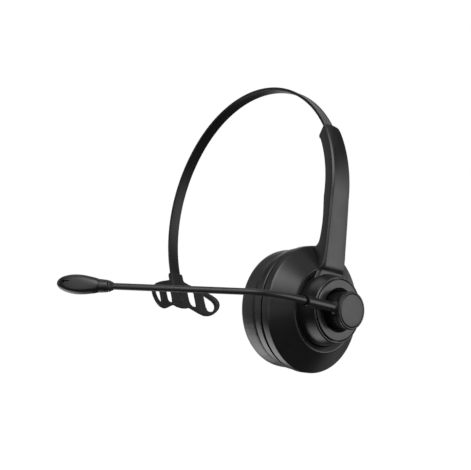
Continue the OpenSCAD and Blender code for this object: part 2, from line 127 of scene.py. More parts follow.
def surface(name, low, high, rough=(0.4, 0.5), specular=0.5, mottle=60, grain=0, grain_depth=0, metallic=0,
            cells=0, cell_depth=0, sheen=0, edge_highlight=0, coat=0, weave=0):
    """A procedural surface: two close tones in soft patches, a painted highlight on sharp edges if asked, varied
    roughness, grain, cells or weave as bump.
    """
    m, nodes, links, shader = node_material(name)
    shader.inputs["Specular IOR Level"].default_value = specular
    shader.inputs["Metallic"].default_value = metallic
    shader.inputs["Sheen Weight"].default_value = sheen
    shader.inputs["Coat Weight"].default_value = coat
    place = nodes.new("ShaderNodeTexCoord")

    def noise_node(scale, detail=3.0, roughness=0.5):
        n = nodes.new("ShaderNodeTexNoise")
        n.inputs["Scale"].default_value = scale
        n.inputs["Detail"].default_value = detail
        n.inputs["Roughness"].default_value = roughness
        links.new(place.outputs["Object"], n.inputs["Vector"])
        return n

    soft = noise_node(mottle)
    tones = nodes.new("ShaderNodeValToRGB")
    tones.color_ramp.elements[0].position = 0.35
    tones.color_ramp.elements[1].position = 0.65
    tones.color_ramp.elements[0].color = (*low, 1)
    tones.color_ramp.elements[1].color = (*high, 1)
    links.new(soft.outputs["Fac"], tones.inputs["Fac"])
    colour = tones.outputs["Color"]
    # Painted highlight: the colour is lightened on sharp convex edges, found by pointiness, standing in for the
    # light lines that rounded edges catch.
    if edge_highlight:
        edge = nodes.new("ShaderNodeNewGeometry")
        sharp = nodes.new("ShaderNodeValToRGB")
        sharp.color_ramp.elements[0].position = 0.52
        sharp.color_ramp.elements[1].position = 0.62
        sharp.color_ramp.elements[1].color = (edge_highlight, edge_highlight, edge_highlight, 1)
        links.new(edge.outputs["Pointiness"], sharp.inputs["Fac"])
        add = nodes.new("ShaderNodeMix")
        add.data_type = "RGBA"
        add.blend_type = "ADD"
        add.inputs["Factor"].default_value = 1
        links.new(colour, add.inputs["A"])
        links.new(sharp.outputs["Color"], add.inputs["B"])
        colour = add.outputs["Result"]
    links.new(colour, shader.inputs["Base Color"])
    patch = noise_node(mottle * 3.1, 4)
    spread = nodes.new("ShaderNodeMapRange")
    spread.inputs["From Min"].default_value = 0.3
    spread.inputs["From Max"].default_value = 0.7
    spread.inputs["To Min"].default_value = rough[0]
    spread.inputs["To Max"].default_value = rough[1]
    links.new(patch.outputs["Fac"], spread.inputs["Value"])
    links.new(spread.outputs["Result"], shader.inputs["Roughness"])
    normal = None

    def bump(height, distance):
        nonlocal normal
        b = nodes.new("ShaderNodeBump")
        b.inputs["Distance"].default_value = distance * MM
        b.inputs["Strength"].default_value = 1
        links.new(height, b.inputs["Height"])
        if normal:
            links.new(normal, b.inputs["Normal"])
        normal = b.outputs["Normal"]

    if grain:
        bump(noise_node(grain, 2.0).outputs["Fac"], grain_depth)
    if cells:
        v = nodes.new("ShaderNodeTexVoronoi")
        v.feature = "SMOOTH_F1"
        v.inputs["Scale"].default_value = cells
        v.inputs["Randomness"].default_value = 1
        links.new(place.outputs["Object"], v.inputs["Vector"])
        bump(v.outputs["Distance"], cell_depth)
    if weave:
        split = nodes.new("ShaderNodeSeparateXYZ")
        links.new(place.outputs["Object"], split.inputs["Vector"])
        waves = []
        for axis in ("Y", "Z"):
            scaled = nodes.new("ShaderNodeMath")
            scaled.operation = "MULTIPLY"
            scaled.inputs[1].default_value = weave
            links.new(split.outputs[axis], scaled.inputs[0])
            sine = nodes.new("ShaderNodeMath")
            sine.operation = "SINE"
            links.new(scaled.outputs[0], sine.inputs[0])
            waves.append(sine.outputs[0])
        product = nodes.new("ShaderNodeMath")
        product.operation = "MULTIPLY"
        links.new(waves[0], product.inputs[0])
        links.new(waves[1], product.inputs[1])
        bump(product.outputs[0], 0.08)
    if normal:
        links.new(normal, shader.inputs["Normal"])
    return m


def grey(v, blue=1.03):
    return (v, v, v * blue)


# The outer face of the strap is polished by sliding in the arm; its colour is also much lighter than the strap's,
# painted light standing in for the light that falls on that face
STRAP_PAINTED_LIT_FACE = surface("strap_polished_painted_lit", grey(0.09), grey(0.097), (0.3, 0.33), 1.0, 25)
# The amounts of lightening given for sharp edges of the black plastics paint a highlight there.
FINISH = {
    "body_black": surface("satin_black", grey(0.008), grey(0.0105), (0.27, 0.34), 0.5, 45, 2600, 0.008,
                          edge_highlight=0.006),
    "key_black": surface("key_black", grey(0.014), grey(0.018), (0.36, 0.4), 0.5, 60, 3000, 0.003,
                         edge_highlight=0.006),
    "boom_black": surface("boom_black", grey(0.012), grey(0.016), (0.28, 0.35), 0.5, 70, 2600, 0.004,
                          edge_highlight=0.004),
    "strap_black": surface("strap_black", grey(0.011), grey(0.013), (0.33, 0.35), 0.2, 25),
    "tbar_rubber": surface("soft_rubber", grey(0.012), grey(0.016), (0.42, 0.5), 0.26, 120, 1800, 0.01),
    "rubber": surface("dark_rubber", grey(0.002), grey(0.003), (0.7, 0.8), 0.05, 120, 1800, 0.01),
    "leatherette": surface("leatherette", grey(0.011), grey(0.015), (0.32, 0.42), 0.5, 90, 900, 0.015,
                           cells=1100,
                           cell_depth=0.035, sheen=0.03),
    "cloth": surface("speaker_cloth_weave", grey(0.02), grey(0.035), (0.8, 0.9), 0.15, 300, 4000, 0.02,
                     weave=9000,
                     sheen=0.2),
    "inner_plastic": surface("inner_plastic", grey(0.03), grey(0.04), (0.45, 0.55), 0.4, 80, 2000, 0.01),
    "steel": surface("steel", grey(0.42), grey(0.5), (0.28, 0.4), 0.5, 120, 3000, 0.004, metallic=1),
    "brass": surface("brass", (0.55, 0.38, 0.15), (0.65, 0.47, 0.2), (0.25, 0.35), 0.5, 120, 3000, 0.004,
                     metallic=1),
    "copper_wire": surface("wire_insulation", (0.3, 0.09, 0.04), (0.36, 0.13, 0.06), (0.4, 0.5), 0.4, 200,
                           2000, 0.01),
    "board_green": surface("solder_mask", (0.012, 0.1, 0.045), (0.02, 0.14, 0.06), (0.3, 0.4), 0.5, 150,
                           2000, 0.01),
    "pouch": surface("laminated_pouch", grey(0.5), grey(0.6), (0.3, 0.45), 0.5, 90, 700, 0.03, metallic=0.8),
    "light_pipe": surface("light_pipe", (0.45, 0.56, 0.5), (0.55, 0.66, 0.58), (0.15, 0.25), 0.5, 200, 2000,
                          0.004),
}


# ---------------------------------------------------------------- mesh helpers

def rounded(corners, closed=True, steps=4):
    """Rounds the corners of an outline of (a, b, radius) or (a, b) points; returns (a, b) points."""
    out = []
    n = len(corners)
    for i, corner in enumerate(corners):
        p = Vector(corner[:2])
        r = corner[2] if len(corner) > 2 else 0
        if r <= 0 or (not closed and i in (0, n - 1)):
            out.append(p)
            continue
        a = Vector(corners[i - 1][:2]) - p
        b = Vector(corners[(i + 1) % n][:2]) - p
        half = a.angle(b) / 2
        cut = min(r / math.tan(half), a.length * 0.49, b.length * 0.49)
        a.normalize()
        b.normalize()
        centre = p + (a + b).normalized() * cut / math.cos(half)
        start, end = p + a * cut - centre, p + b * cut - centre
        sweep = start.angle_signed(end)
        for k in range(steps + 1):
            t = -sweep * k / steps
            c, s = math.cos(t), math.sin(t)
            out.append(centre + Vector((start.x * c - start.y * s, start.x * s + start.y * c)))
    return out


def finish_mesh(name, bm, smooth=30):
    """Makes an object from a bmesh given in millimetres."""
    bmesh.ops.remove_doubles(bm, verts=bm.verts, dist=1e-4)
    bmesh.ops.recalc_face_normals(bm, faces=bm.faces)
    bm.transform(Matrix.Scale(MM, 4))
    mesh = bpy.data.meshes.new(name)
    bm.to_mesh(mesh)
    bm.free()
    for p in mesh.polygons:
        p.use_smooth = True
    mesh.set_sharp_from_angle(angle=math.radians(smooth))
    o = bpy.data.objects.new(name, mesh)
    bpy.context.scene.collection.objects.link(o)
    return o


def revolve(profile, matrix, segments=180, closed=True):
    """Revolves (radius, distance) points about the matrix's Z axis into a bmesh."""
    bm = bmesh.new()
    rows = []
    for r, z in profile:
        if r < 1e-6:
            rows.append([bm.verts.new(matrix @ Vector((0, 0, z)))] * segments)
        else:
            rows.append([
                bm.verts.new(matrix @ Vector((
                    r * math.cos(2 * math.pi * k / segments), r * math.sin(2 * math.pi * k / segments), z)))
                for k in range(segments)
            ])
    last = len(rows) if closed else len(rows) - 1
    for i in range(last):
        a, b = rows[i], rows[(i + 1) % len(rows)]
        for k in range(segments):
            n = (k + 1) % segments
            corners = []
            for v in (a[k], a[n], b[n], b[k]):
                if v not in corners:
                    corners.append(v)
            if len(corners) > 2:
                bm.faces.new(corners)
    return bm


def loft(rings, matrix=None, caps=True):
    """Skins closed rings of points into a bmesh."""
    bm = bmesh.new()
    matrix = matrix or Matrix.Identity(4)
    rows = [[bm.verts.new(matrix @ Vector(p)) for p in ring] for ring in rings]
    n = len(rows[0])
    for a, b in zip(rows, rows[1:]):
        for k in range(n):
            bm.faces.new((a[k], a[(k + 1) % n], b[(k + 1) % n], b[k]))
    if caps:
        bm.faces.new(rows[0])
        bm.faces.new(rows[-1])
    return bm


def block(size, centre, matrix, bevel=0.0, segments=3):
    """A box of that size with rounded edges, as a bmesh."""
    bm = bmesh.new()
    bmesh.ops.create_cube(bm, size=1)
    bm.transform(Matrix.Diagonal((*size, 1)))
    if bevel:
        bmesh.ops.bevel(bm, geom=bm.edges[:], offset=bevel, segments=segments, affect="EDGES", profile=0.5)
    bm.transform(matrix @ move(*centre))
    return bm


def add_to(target, piece):
    """Adds one bmesh to another."""
    mesh = bpy.data.meshes.new("piece")
    piece.to_mesh(mesh)
    piece.free()
    target.from_mesh(mesh)
    bpy.data.meshes.remove(mesh)


def lathe(name, corners, matrix=CUP, segments=180, smooth=30, steps=4):
    return finish_mesh(name, revolve(rounded(corners, True, steps), matrix, segments), smooth)


def apply_modifiers(o):
    """Replaces the object's mesh with its modified one."""
    dg = bpy.context.evaluated_depsgraph_get()
    mesh = bpy.data.meshes.new_from_object(o.evaluated_get(dg))
    o.modifiers.clear()
    o.data = mesh
    return o


def cut(o, tools, smooth=30):
    """Cuts the tool objects out of o and deletes them."""
    for t in tools:
        m = o.modifiers.new("cut", "BOOLEAN")
        m.operation = "DIFFERENCE"
        m.solver = "EXACT"
        m.object = t
        bpy.context.view_layer.update()
        apply_modifiers(o)
    for t in tools:
        bpy.data.objects.remove(t)
    for p in o.data.polygons:
        p.use_smooth = True
    o.data.set_sharp_from_angle(angle=math.radians(smooth))
    return o


def from_cad(name, node, width, angle=25, segments=2, smooth=35):
    """A copy of a CAD node with its edges broken, for small moulded and stamped pieces."""
    source = frame["nodes"][node]
    bm = bmesh.new()
    bm.from_mesh(source.data)
    bm.transform(Matrix.Scale(1 / MM, 4))
    bmesh.ops.remove_doubles(bm, verts=bm.verts, dist=2e-4)
    bmesh.ops.dissolve_limit(bm, angle_limit=math.radians(1.5), verts=bm.verts, edges=bm.edges)
    edges = [e for e in bm.edges if len(e.link_faces) == 2 and e.calc_face_angle(0) > math.radians(angle)]
    bmesh.ops.bevel(bm, geom=edges, offset=width, segments=segments, affect="EDGES", profile=0.5,
                    clamp_overlap=True)
    return finish_mesh(name, bm, smooth)


def finished(o, body, slot, *nodes):
    """Gives a piece its body and the material of its slot, and hides the CAD nodes that it stands for."""
    o.data.materials.clear()
    o.data.materials.append(FINISH[slot])
    for p in o.data.polygons:
        p.material_index = 0
    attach(o, body)
    if nodes:
        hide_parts(*nodes)
    return o


# ---------------------------------------------------------------- camera

camera = bpy.data.objects.new("camera", bpy.data.cameras.new("camera"))
bpy.context.scene.collection.objects.link(camera)
right = Vector((0.6475, 0.7505, 0.1321)).normalized()
forward = Vector((-0.7612, 0.6285, 0.1600))
forward = (forward - right * forward.dot(right)).normalized()
up = right.cross(forward).normalized()
camera.matrix_world = Matrix((
    (right.x, up.x, -forward.x, 348.2 * MM),
    (right.y, up.y, -forward.y, -325.3 * MM),
    (right.z, up.z, -forward.z, -41.7 * MM),
    (0, 0, 0, 1),
))
camera.data.sensor_width = 36
camera.data.lens = 69.02
camera.data.clip_start = 0.01
bpy.context.scene.camera = camera


# ---------------------------------------------------------------- ear cushion

def ear_cushion():
    """Foam ring in leatherette: blown up as cloth at ten times its size, then brought back to its box."""
    profile = rounded([
        (19.0, 11.4, 1), (18.8, 1.0, 4.2), (30.2, 1.0, 4.6), (30.3, 12.6, 0.8), (29.2, 12.9, 0.6), (28.6,
                                                                                                    11.4, 0.4)
    ], True, 6)
    bm = revolve(profile, CUP, 120)
    o = finish_mesh("ear_cushion_soft", bm, 180)
    o.data.transform(Matrix.Scale(10, 4))
    rough = o.modifiers.new("remesh", "REMESH")
    rough.mode = "VOXEL"
    rough.voxel_size = 0.0095
    apply_modifiers(o)
    rest = [v.co.copy() for v in o.data.vertices]
    held = o.vertex_groups.new(name="held")
    for v in o.data.vertices:
        weight = min(max((v.co.x - 0.085) / 0.02, 0), 1)
        if weight > 0:
            held.add([v.index], weight, "REPLACE")
    cloth = o.modifiers.new("cloth", "CLOTH")
    s = cloth.settings
    s.quality = 5
    s.mass = 0.3
    s.tension_stiffness = 15
    s.compression_stiffness = 15
    s.bending_stiffness = 2
    s.use_pressure = True
    s.uniform_pressure_force = 4
    s.effector_weights.gravity = 0
    s.vertex_group_mass = "held"
    cloth.collision_settings.use_collision = False
    cloth.point_cache.frame_start = 1
    cloth.point_cache.frame_end = 20
    for f in range(1, 21):
        bpy.context.scene.frame_set(f)
    apply_modifiers(o)
    bpy.context.scene.frame_set(1)
    for v, r in zip(o.data.vertices, rest):
        step = v.co - r
        if step.length > 0.010:
            v.co = r + step.normalized() * 0.010
    o.data.transform(Matrix.Scale(0.1, 4))
    low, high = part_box("ear_cushion")
    xs = [v.co.x for v in o.data.vertices]
    rs = [math.hypot(v.co.y, v.co.z) for v in o.data.vertices]
    x0, x1, r1 = min(xs), max(xs), sorted(rs)[int(len(rs) * 0.995)]
    for v in o.data.vertices:
        radius = math.hypot(v.co.y, v.co.z)
        around_cup = math.atan2(v.co.z, v.co.y)
        x = (v.co.x - x0) / (x1 - x0)
        new_r = 0.0184 + (radius - min(rs)) * (high.z - 0.0184) / (r1 - min(rs))
        # gathers by the sewn outer and inner edges, which die away towards the crest
        edge = min(max((x - 0.35) / 0.5, 0), 1)
        pucker = noise.noise(Vector((math.cos(around_cup) * 9, math.sin(around_cup) * 9, x * 0.8)))
        fine = noise.noise(Vector((math.cos(around_cup) * 24, math.sin(around_cup) * 24, x * 1.5 + 9)))
        new_r += (pucker * 0.00010 + fine * 0.00006) * edge
        # the skin tucks in behind the front ring
        tuck = min(max((x - 0.9) / 0.1, 0), 1)
        if new_r > 0.0245:
            new_r -= 0.0007 * tuck * tuck
        wave = noise.noise(Vector((math.cos(around_cup) * 2.5, math.sin(around_cup) * 2.5, 4)))
        v.co.x = low.x + x * (high.x - low.x) + wave * 0.00012 * (1 - x)
        v.co.y = math.cos(around_cup) * new_r
        v.co.z = math.sin(around_cup) * new_r
    smooth = o.modifiers.new("smooth", "SMOOTH")
    smooth.factor = 0.5
    smooth.iterations = 3
    sub = o.modifiers.new("sub", "SUBSURF")
    sub.levels = sub.render_levels = 1
    apply_modifiers(o)
    for p in o.data.polygons:
        p.use_smooth = True
    finished(o, "cup", "leatherette", "ear_cushion")
    return o


def cushion_seam():
    """Stitched welt inside the ear hole, where leatherette meets the cloth."""
    o = lathe("cushion_welt", [(18.45, 9.9, 0.2), (18.1, 10.1, 0.3), (18.1, 10.9, 0.3), (18.6, 11.2, 0.2)],
              segments=144)
    finished(o, "cup", "leatherette")
    stitches = bmesh.new()
    for k in range(96):
        a = 2 * math.pi * k / 96
        one = block((0.9, 0.22, 0.22), (0, 0, 0), move(10.5, 18.06 * math.cos(a), 18.06 * math.sin(a))
                    @ Matrix.Rotation(a, 4, "X") @ turn(90, "Z") @ turn(90, "Y"), 0.09, 2)
        add_to(stitches, one)
    s = finish_mesh("cushion_stitches", stitches, 60)
    finished(s, "cup", "cloth")


def speaker_cloth():
    """Round of cloth stretched over the speaker, slightly crowned and dimpled over the baffle's holes."""
    bm = bmesh.new()
    rows = 36
    spokes = 120
    radius = 18.85
    centre = bm.verts.new((12.2, 0, 0))
    rings = []
    for i in range(1, rows + 1):
        r = radius * i / rows
        ring = []
        for k in range(spokes):
            a = 2 * math.pi * k / spokes
            x = 12.2 + 0.4 * (r / radius) ** 2 + 0.03 * math.sin(a * 6) * math.sin(math.pi * r / radius)
            ring.append(bm.verts.new((x, r * math.cos(a), r * math.sin(a))))
        rings.append(ring)
    for k in range(spokes):
        bm.faces.new((centre, rings[0][k], rings[0][(k + 1) % spokes]))
    for a, b in zip(rings, rings[1:]):
        for k in range(spokes):
            n = (k + 1) % spokes
            bm.faces.new((a[k], a[n], b[n], b[k]))
    o = finish_mesh("speaker_cloth_sheet", bm, 180)
    thick = o.modifiers.new("thick", "SOLIDIFY")
    thick.thickness = 0.25 * MM
    thick.offset = 0
    apply_modifiers(o)
    finished(o, "cup", "cloth", "speaker_cloth")
    return o


# ---------------------------------------------------------------- cup

def front_ring():
    o = lathe("front_ring_body", [
        (29.1, 12.05, 0.05), (30.0, 12, 0.1), (30.1, 13.5, 0.1), (30.7, 13.5, 0.15), (31.2, 14.0, 0.2),
        (31.7, 18.1, 0.2), (31.35, 18.5, 0.15), (29.5, 18.55, 0.1), (29.5, 13.1, 0.1), (29.1, 13.05, 0.05)
    ], segments=240)
    tools = []
    key, slider = (3.4, 6, 7.4), (2.8, 6, 6.8)
    for angle, size in ((VOLUME_UP_AT, key), (VOLUME_DOWN_AT, key), (SLIDER_AT, slider)):
        tools.append(finish_mesh("tool", block(size, (0, 31, 0), around(angle, KEY_X), 0.45)))
    tools.append(finish_mesh("tool", revolve([(0, 28), (0.95, 28), (0.95, 34), (0, 34)],
                                             around(LIGHT_AT, KEY_X) @ turn(-90, "X"), 32, closed=False)))
    tools.append(finish_mesh("tool", block((3.56, 9.24, 6), (0, 0, 31), around(PORT_AT, KEY_X) @ turn(-90,
                                                                                                      "X"), 1.2, 6)))
    cut(o, tools)
    return finished(o, "cup", "body_black", "front_ring")


def cup_shells():
    finished(lathe("parting_gasket", [(28.7, 18.65, 0.05), (29.7, 18.65, 0.1), (29.7, 19.8, 0.1), (28.7,
                                                                                                   19.8, 0.05)],
                   segments=240), "cup", "rubber", "parting_ring")
    finished(lathe("housing_body", [
        (29.6, 19.85, 0.1), (31.7, 19.9, 0.2), (32.2, 20.35, 0.25), (32.2, 24.25, 0.25), (31.45, 24.95, 0.2),
        (22.0, 32.35, 0.35), (21.45, 32.6, 0.25), (20.95, 32.5, 0.3), (18.72, 31.6, 0.25), (18.6, 31.2, 0.1),
        (18.6, 26.0), (7.2, 26.0), (7.2, 24.7), (20.4, 24.7), (20.4, 29.2), (23.2, 29.2), (29.6, 23.2)
    ], segments=240), "cup", "body_black", "housing_shell")
    finished(lathe("hub_cap_ring", [
        (10.55, 37.3, 0.1), (11.35, 37.3, 0.1), (11.35, 40), (15.25, 40), (15.25, HUB_X - 0.45, 0.25),
        (14.85, HUB_X, 0.3), (11.0, HUB_X, 0.45), (10.5, HUB_X - 0.7, 0.4), (9.35, 39.8, 0.1), (9.35, 38.5),
        (10.55, 38.5)
    ]), "cup", "body_black", "hub_cover")


def side_controls():
    for node, body in (("volume_up_key", "volume_up"), ("volume_down_key", "volume_down")):
        finished(from_cad(node + "_cap", node, 0.3, segments=3), body, "key_black", node)
        angle = VOLUME_UP_AT if body == "volume_up" else VOLUME_DOWN_AT
        marks = block((0.35, 0.16, 2.2), (0, 31.93, 0), around(angle, KEY_X), 0.06, 2)
        if body == "volume_up":
            across = block((1.7, 0.16, 0.35), (0, 31.93, 0), around(angle, KEY_X), 0.06, 2)
            add_to(marks, across)
        finished(finish_mesh(node + "_mark", marks, 60), body, "key_black")
    slider = from_cad("power_slider_cap", "power_slider", 0.25, segments=3)
    finished(slider, "power_switch", "key_black", "power_slider")
    ribs = bmesh.new()
    for k in range(4):
        rib = block((2.0, 0.3, 0.28), (0, 31.9, -2.75 + 0.75 * k), around(SLIDER_AT, KEY_X), 0.1, 2)
        add_to(ribs, rib)
    finished(finish_mesh("power_slider_ribs", ribs, 60), "power_switch", "key_black")
    finished(from_cad("charge_port_shell", "charge_port", 0.08), "cup", "steel", "charge_port")
    finished(from_cad("charge_port_tongue", "port_tongue", 0.08), "cup", "inner_plastic", "port_tongue")
    finished(lathe("status_light_lens", [(0.0, 26), (0.9, 26), (0.9, 31.1, 0.1), (0.6, 31.45, 0.3), (0,
                                                                                                     31.5)],
                   around(LIGHT_AT, KEY_X) @ turn(-90, "X"), 48), "cup", "light_pipe", "status_light")


# ---------------------------------------------------------------- arm

def arm_half_width(z):
    """Half width of the arm at a height, with its rounded end."""
    table = [(8, 12.6), (12, 12), (14, 11.3), (16, 10.5), (18.4, 9.5), (20.8, 8.6), (24, 7.85), (30, 7.4),
             (94, 6)]
    if z >= 94:
        t = min((z - 94) / 5.1, 0.999)
        return 6 * (1 - t ** 2.4) ** (1 / 2.2)
    for (z0, w0), (z1, w1) in zip(table, table[1:]):
        if z <= z1:
            return w0 + (w1 - w0) * max(z - z0, 0) / (z1 - z0)
    return 6


def mouth_angle(depth):
    """Angle of the arm's mouth above the arch centre, at a depth below the outer face."""
    for (d0, a0), (d1, a1) in zip(MOUTH, MOUTH[1:]):
        if depth <= d1:
            return a0 + (a1 - a0) * max(depth - d0, 0) / (d1 - d0)
    return MOUTH[-1][1]


def arm_section(thick, half, edge, drop, crown):
    """Cross-section of the arm as (depth from the outer face, y) points, from -Y round to +Y and back inside."""
    outline = rounded([
        (thick, -half, 0.9), (drop, -half, 0.45), (0, -half + edge, 0.45), (0, -half * 0.45), (0, 0),
        (0, half * 0.45), (0, half - edge, 0.45), (drop, half, 0.45), (thick, half, 0.9), (thick, half * 0.3),
        (thick, -half * 0.3)
    ], True, 3)
    points = []
    for d, y in outline:
        if d < drop + 0.6:
            d += crown * (y / half) ** 2 * max(0, 1 - d / (drop + 0.6))
        points.append((d, y))
    return points


def arm():
    rings = []
    # the saddle over the hub, then the step up to the outer plate, then the straight part
    levels = [
        (9, 24, 34.3, 2.0, 1.2), (12, 24, 34.3, 2.0, 1.2), (14, 24, 34.3, 1.9, 1.2), (16, 24, 34.2, 1.8, 1.2),
        (17.2, 24, 34.12, 1.8, 1.2), (18.0, 24, 34.08, 1.9, 1.2), (18.6, 24, 34.12, 2.0, 1.2),
        (19.1, 24, 34.3, 2.0, 1.2), (19.5, 24, 34.55, 2.0, 1.3), (19.9, 24, 34.85, 2.0, 1.4),
        (20.4, 24, 35.12, 1.95, 1.5), (21.2, 24, 35.4, 1.8, 1.5), (22.4, 24, 35.52, 1.6, 1.4),
        (24.5, 24, 35.52, 1.2, 1.2), (27, 24, 35.46, 1.0, 1.0),
        (29.9, 24, 35.38, 0.95, 0.95), (30.5, 24.2, 35.36, 0.95, 0.95), (30.9, 25.9, 35.34, 0.95, 0.95),
        (31.4, 27.0, 35.32, 0.95, 0.95), (32.2, 27.8, 35.3, 0.95, 0.95), (33.2, 28.4, 35.26, 0.95, 0.95),
        (34.8, 28.8, 35.2, 0.95, 0.95), (37, 29.02, 35.1, 0.95, 0.95), (40, 29.15, 34.98, 0.95, 0.95),
        (43.5, 29.15, 34.84, 0.95, 0.95), (47, 28.95, 34.68, 0.95, 0.95), (50.5, 28.55, 34.5, 0.95, 0.95),
        (54, 28.05, 34.3, 0.95, 0.95),
    ]
    for z, inner, outer, edge, drop in levels:
        half = arm_half_width(z)
        ring = [(outer - d, y, z) for d, y in arm_section(outer - inner, half, edge, drop, 0.35)]
        rings.append(ring)

    def bent(depth, y, v):
        """Point on the curved part: v runs 0 to 1 from the arch centre's height to the mouth."""
        lean = max(0, (v - 0.5) / 0.5)
        angle = math.radians((MOUTH[0][1] + (mouth_angle(depth) - MOUTH[0][1]) * lean) * v)
        r = ARM_OUT - depth
        z = ARCH.y + r * math.sin(angle)
        return (ARCH.x + r * math.cos(angle), y * arm_half_width(z) / 6, z)

    section = arm_section(ARM_OUT - ARM_IN, 6, 0.95, 0.95, 0.35)
    for v in [i / 20 for i in range(18)] + [0.875, 0.9, 0.92, 0.94, 0.955, 0.97, 0.98, 0.988, 0.995, 1]:
        lip = max(0, (v - 0.96) / 0.04)
        rings.append([bent(d + 0.5 * lip * lip, y, v) for d, y in section])
    # the mouth: a lip, then the channel that the strap slides in
    slot = arm_section(2.0, 3.62, 0.3, 0.3, 0)

    def channel(back):
        ring = []
        for d, y in slot:
            depth = 0.95 + d
            angle = mouth_angle(depth) - back
            r = ARM_OUT - depth
            a = math.radians(angle)
            ring.append((ARCH.x + r * math.cos(a), y, ARCH.y + r * math.sin(a)))
        return ring

    rings += [channel(0.0), channel(0.25), channel(9)]
    o = finish_mesh("arm_body", loft(rings), 32)
    low, high = math.radians(-2.8), math.radians(27.6)
    tool_rings = []
    for i in range(33):
        a = low + (high - low) * i / 32
        ring = []
        for r, y in ((62, -4.52), (67.15, -4.52), (67.15, 4.52), (62, 4.52)):
            ring.append((ARCH.x + r * math.cos(a), y, ARCH.y + r * math.sin(a)))
        tool_rings.append(ring)
    cut(o, [finish_mesh("tool", loft(tool_rings))], 32)
    finished(o, "cup", "body_black", "arm_shell")
    barrel = lathe("hub_barrel", [
        (7.2, 26.05), (18.4, 26.05), (18.4, 31.3, 1), (HUB_R, HUB_X - 1.0, 0.8), (HUB_R - 0.45, HUB_X - 0.5,
                                                                                  0.3),
        (15.65, HUB_X - 0.5, 0.15), (15.55, 39.95), (14.4, 39.95), (14.4, 35.1, 0.3), (7.6, 35.0), (7.6, 36,
                                                                                                    0.1),
        (5.95, 36, 0.1), (5.95, 30), (7.2, 30)
    ], segments=200)
    finished(barrel, "cup", "body_black", "arm_shell")
    finished(from_cad("arm_cover_plate", "arm_cover", 0.15), "cup", "body_black", "arm_cover")
    heads = bmesh.new()
    for angle in (0, 25.4):
        place = move(ARCH.x, 0, ARCH.y) @ turn(90 - angle, "Y") @ move(0, 0, ARM_IN + 0.4)
        head = revolve(rounded([(0, 0.35), (0.35, 0.3, 0.05), (0.5, 0.02, 0.1), (0.8, 0, 0.1), (1, 0.15,
                                                                                                0.1), (1,
                                                                                                       1.2),
                                (0, 1.2)], False, 2), place, 40, closed=False)
        add_to(heads, head)
    finished(finish_mesh("arm_cover_screws", heads, 40), "cup", "steel", "arm_screws")


# ---------------------------------------------------------------- knob and button

def knob():
    finished(lathe("boom_knob_body", [
        (0, 37), (8.6, 37, 0.1), (9, 37.4, 0.2), (9, 46.6, 1.5), (9.3, 48.3, 0.6), (9.45, 49.05, 0.3),
        (9.25, 49.72, 0.25), (8.8, 50.0, 0.18), (8.42, 49.98, 0.12), (8.3, 49.7, 0.1), (8.3, 48.35,
                                                                                        0.1), (0, 48.35)
    ], segments=160), "boom", "body_black", "boom_knob")
    finished(lathe("call_button_cap", [
        (0, 49.4), (2.7, 49.4), (2.7, 48.98), (8.1, 48.98), (8.1, 49.9, 0.3), (7.75, 50.22, 0.3), (6, 50.34,
                                                                                                   0.5),
        (3, 50.39, 0.5), (0, 50.4)
    ], segments=160), "call_key", "key_black", "call_button")


# ---------------------------------------------------------------- boom

def boom_point(s):
    """Centre line of the boom in its own frame, with its direction."""
    bend = math.radians(BEND)
    length = BEND_R * bend
    if s <= BOOM_STRAIGHT:
        return Vector((0, 0, s)), 0.0
    if s <= BOOM_STRAIGHT + length:
        a = (s - BOOM_STRAIGHT) / BEND_R
        return Vector((BEND_R * (1 - math.cos(a)), 0, BOOM_STRAIGHT + BEND_R * math.sin(a))), a
    extra = s - BOOM_STRAIGHT - length
    return Vector((BEND_SIDE + extra * math.sin(bend), 0, BEND_END + extra * math.cos(bend))), bend


def boom_radius(s):
    start = SOCKET_END + RING_LENGTH
    if s >= BOOM_STRAIGHT + 4:
        return BOOM_R
    t = max(0, (s - start) / (BOOM_STRAIGHT + 4 - start))
    return BOOM_FOOT_R + (BOOM_R - BOOM_FOOT_R) * (3 * t * t - 2 * t * t * t)


def boom():
    bend_length = BEND_R * math.radians(BEND)
    total = BOOM_STRAIGHT + bend_length + MIC_START + 4.8
    rings = []
    count = 110
    for i in range(count + 1):
        s = 14 + (total - 14) * i / count
        centre, a = boom_point(s)
        side = Vector((math.cos(a), 0, -math.sin(a)))
        r = boom_radius(s)
        rings.append([
            centre + side * r * math.cos(2 * math.pi * k / 32) + Vector((0,
                                                                         r * math.sin(2 * math.pi * k / 32), 0))
            for k in range(32)
        ])
    finished(finish_mesh("boom_tube_body", loft(rings, BOOM), 60), "boom", "boom_black", "boom_tube")
    finished(lathe("boom_socket_body", [
        (0, 7), (3.3, 7), (3.35, 9.1, 0.3), (2.62, 10.3, 0.8), (2.45, 11.4, 0.8), (2.45, 27.45, 0.2),
        (2.3, 27.8, 0.1), (1.96, 27.8), (1.96, 20), (0, 20)
    ], BOOM, 72), "boom", "body_black", "boom_socket")
    finished(lathe("boom_socket_ring", [
        (1.7, SOCKET_END + 0.02), (2.3, SOCKET_END + 0.02, 0.1), (2.36, SOCKET_END + 0.3, 0.2),
        (2.3, SOCKET_END + RING_LENGTH, 0.2), (1.7, SOCKET_END + RING_LENGTH)
    ], BOOM, 72), "boom", "rubber", "socket_ring")
    finished(lathe("mic_flare", [
        (1.4, MIC_START), (BOOM_R + 0.2, MIC_START, 0.1), (2.45, MIC_START + 1.45, 0.4), (2.62,
                                                                                          MIC_START + 1.7, 0.2),
        (2.62, MIC_START + 2.25, 0.1), (1.4, MIC_START + 2.3)
    ], TIP, 72), "boom", "boom_black", "mic_ring")
    finished(lathe("mic_collar_body", [
        (1.6, MIC_BACK + 0.05), (2.7, MIC_BACK + 0.05, 0.15), (2.85, MIC_BACK + 0.3, 0.15),
        (3.2, MIC_BACK + COLLAR - 0.1, 0.12), (3.05, MIC_BACK + COLLAR, 0.05), (1.6, MIC_BACK + COLLAR)
    ], TIP, 72), "boom", "body_black", "mic_collar")


